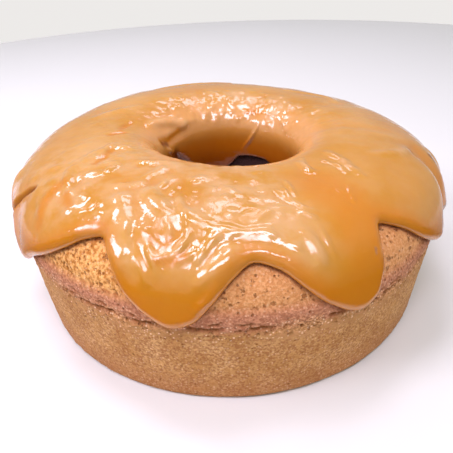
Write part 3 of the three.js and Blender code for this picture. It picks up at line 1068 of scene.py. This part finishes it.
def baked_crumb():
    look = Finish("baked_crumb")
    height, ragged = look.attribute("height"), look.attribute("ragged")
    speckle = look.mottle(800, Detail=2.0, Low=0.36, High=0.64)
    patches = look.mottle(60, Low=0.32)
    wall = wall_tone(look, speckle, patches, height)
    tone = look.tint(look.span(height, *CRUST_STARTS), wall, look.tint(speckle, *CRUST))
    crumb = crumb_tone(look, speckle, patches)
    tone = look.tint(look.span(height, *CRUMB_STARTS), tone, crumb)
    tone = torn_tone(look, tone, speckle, ragged)
    pinhole = small_pores(look, height, ragged)
    dark = look.math("MAXIMUM", look.attribute("dark"), look.times(pinhole, 0.75))
    tone = look.tint(look.times(dark, 0.9), tone, PORE_SHADE)
    # Partly soaked crumb, partly painted shade under the topping's edge.
    tone = look.tint(look.times(look.attribute("soaked_and_shaded"), 0.75), tone, SOAKED_CRUMB_AND_SHADE)
    # Painted shade: the cake inside the hole near black.
    tone = look.tint(look.attribute("inner"), tone, HOLE_WALL_SHADE)

    fine = look.mottle(1100, Detail=4.0, Roughness=0.7, Low=0, High=1)
    fine = look.bump(fine, depth=0.0006, strength=0.6)
    gritty = look.bump(speckle, depth=0.0005, strength=0.5, over=fine)
    look.set(
        Base_Color=tone,
        Normal=look.bump(pinhole, depth=-0.0009, strength=0.8, over=gritty),
        Roughness=look.span(speckle, 0, 1, 0.74, 0.9),
        IOR=1.4,
        Subsurface_Weight=0.1,
        Subsurface_Scale=0.003,
        Subsurface_Radius=(1.0, 0.5, 0.25),
    )
    return look.material


def pale_floor():
    """A pale table, which in the gloss alone is dark from a little way in front of the cake."""
    look = Finish("pale_floor")
    place = look.place()
    in_front = look.span(look.axes(place)["Y"], 0.14, -0.06)
    length = look.made("VectorMath", {0: place}, "LENGTH").outputs["Value"]
    away = look.times(in_front, look.span(length, 0.15, 0.2))
    mirrored = look.add("LightPath").outputs["Is Glossy Ray"]
    look.set(
        Base_Color=look.tint(look.times(mirrored, away), FLOOR, FLOOR_IN_THE_GLOSS),
        Roughness=look.span(look.mottle(3, Low=0, High=1), 0, 1, 0.50, 0.56),
    )
    return look.material


# ---- The set ----

FLOOR_RADIUS = 0.8
FLOOR_SIDES = 96
FLOOR_DROP = 0.0002  # how far it lies under the base

# What the room is like, as brightness: seen directly, as soft light on the cake from either
# side, and in the caramel's gloss.
BACKDROP = 1.2
FILL_LEFT = 0.36
FILL_RIGHT = 0.95
LOW_IN_FRONT = 0.1
LEFT_WALL = 1.0
RIGHT_WALL = 0.25
BACK_WALL = 0.7
CEILING = 0.6
ROOM_COLOUR = (1.0, 0.975, 0.955, 1.0)

# Each window: its direction from the cake, its distance, width and depth, and its brightness.
# They all face one point in the middle of the cake.
WINDOWS_FACE = (0.0, 0.0, 0.06)
WINDOW_COLOUR = (1.0, 0.88, 1.12)
WINDOWS = {
    "window_above": ((0.0, -0.5, 0.86), 1.0, 0.5, 0.28, 16),
    "skylight": ((-0.1, 0.12, 0.99), 1.0, 0.34, 0.24, 15),
    "window_left": ((-0.66, -0.3, 0.69), 1.1, 0.44, 0.38, 17),
    "window_far_left": ((-0.46, 0.34, 0.82), 1.0, 0.25, 0.25, 17),
    "window_behind": ((0.1, 0.6, 0.8), 1.0, 0.3, 0.2, 6),
}

CAMERA_ELEVATION = 36.27  # degrees, seen from the middle of the base
CAMERA_DISTANCE = 0.34498
CAMERA_AIM = (-0.00218, 0.0, 0.02567)
CAMERA_TILT = -2.56
CAMERA_SENSOR = 36.0
CAMERA_LENS = 40.42
EXPOSURE = -0.5


def make_floor():
    turns = [ALL_ROUND * side / FLOOR_SIDES for side in range(FLOOR_SIDES)]
    corners = [(FLOOR_RADIUS * math.cos(a), FLOOR_RADIUS * math.sin(a), -FLOOR_DROP) for a in turns]
    mesh = bpy.data.meshes.new("floor")
    mesh.from_pydata(corners, [], [tuple(range(FLOOR_SIDES))])
    floor = bpy.data.objects.new("floor", mesh)
    floor.data.materials.append(pale_floor())
    bpy.context.scene.collection.objects.link(floor)


def make_window(name, direction, distance, width, depth, brightness):
    """A soft rectangular lamp that faces the cake, its whole face shining that brightly."""
    middle = Vector(WINDOWS_FACE)
    lamp = bpy.data.lights.new(name, "AREA")
    lamp.shape = "RECTANGLE"
    lamp.size, lamp.size_y = width, depth
    lamp.energy = brightness * math.pi * width * depth
    lamp.color = WINDOW_COLOUR
    window = bpy.data.objects.new(name, lamp)
    window.location = middle + Vector(direction).normalized() * distance
    window.rotation_euler = (middle - window.location).to_track_quat("-Z", "Y").to_euler()
    bpy.context.scene.collection.objects.link(window)


def make_room():
    """A soft room. In the gloss it is bright at the front left, dim at the front right and low
    down in front, and even behind."""
    world = bpy.data.worlds.new("soft_room")
    world.use_nodes = True
    bpy.context.scene.world = world
    room = Nodes(world.node_tree)
    way = room.axes(room.add("TexCoord").outputs["Generated"])
    front_left = room.span(way["Z"], 0.0, 0.32, LOW_IN_FRONT, LEFT_WALL)
    front_right = room.span(way["Z"], 0.45, 0.75, RIGHT_WALL, CEILING)
    back = room.span(way["Z"], 0.5, 0.8, BACK_WALL, CEILING)
    front = room.mix(room.span(way["X"], -0.2, 0.3), front_left, front_right)
    gloss = room.mix(room.span(way["Y"], -0.35, 0.25), front, back)
    fill = room.span(way["X"], -0.5, 0.8, FILL_LEFT, FILL_RIGHT)
    ray = room.add("LightPath").outputs
    lit = room.mix(ray["Is Glossy Ray"], fill, gloss)
    background = room.nodes["Background"]
    background.inputs["Color"].default_value = ROOM_COLOUR
    room.feed(room.mix(ray["Is Camera Ray"], lit, BACKDROP), background.inputs["Strength"])


def make_lights():
    make_room()
    for name, values in WINDOWS.items():
        make_window(name, *values)


def make_camera():
    elevation, tilt = math.radians(CAMERA_ELEVATION), math.radians(CAMERA_TILT)
    back = CAMERA_DISTANCE * math.cos(elevation)
    place = Vector((0.0, -back, CAMERA_DISTANCE * math.sin(elevation)))
    forward = (Vector(CAMERA_AIM) - place).normalized()
    right = forward.cross(Vector((0, 0, 1))).normalized()
    up = right.cross(forward)
    tilted_right = math.cos(tilt) * right + math.sin(tilt) * up
    tilted_up = -math.sin(tilt) * right + math.cos(tilt) * up
    turn = Matrix((tilted_right, tilted_up, -forward)).transposed().to_4x4()
    lens = bpy.data.cameras.new("camera")
    lens.sensor_width = CAMERA_SENSOR
    lens.lens = CAMERA_LENS
    camera = bpy.data.objects.new("camera", lens)
    camera.matrix_world = Matrix.Translation(place) @ turn
    bpy.context.scene.collection.objects.link(camera)
    bpy.context.scene.camera = camera


def main():
    make_camera()
    ring = make_ring()
    ring.data.materials.append(baked_crumb())
    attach(ring, "root")
    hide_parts("baked_ring")
    topping = make_topping()
    topping.data.materials.append(dulce_de_leche())
    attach(topping, "root")
    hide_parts("caramel_topping")
    make_floor()
    make_lights()
    bpy.context.scene.view_settings.view_transform = "Standard"
    bpy.context.scene.view_settings.exposure = EXPOSURE


main()
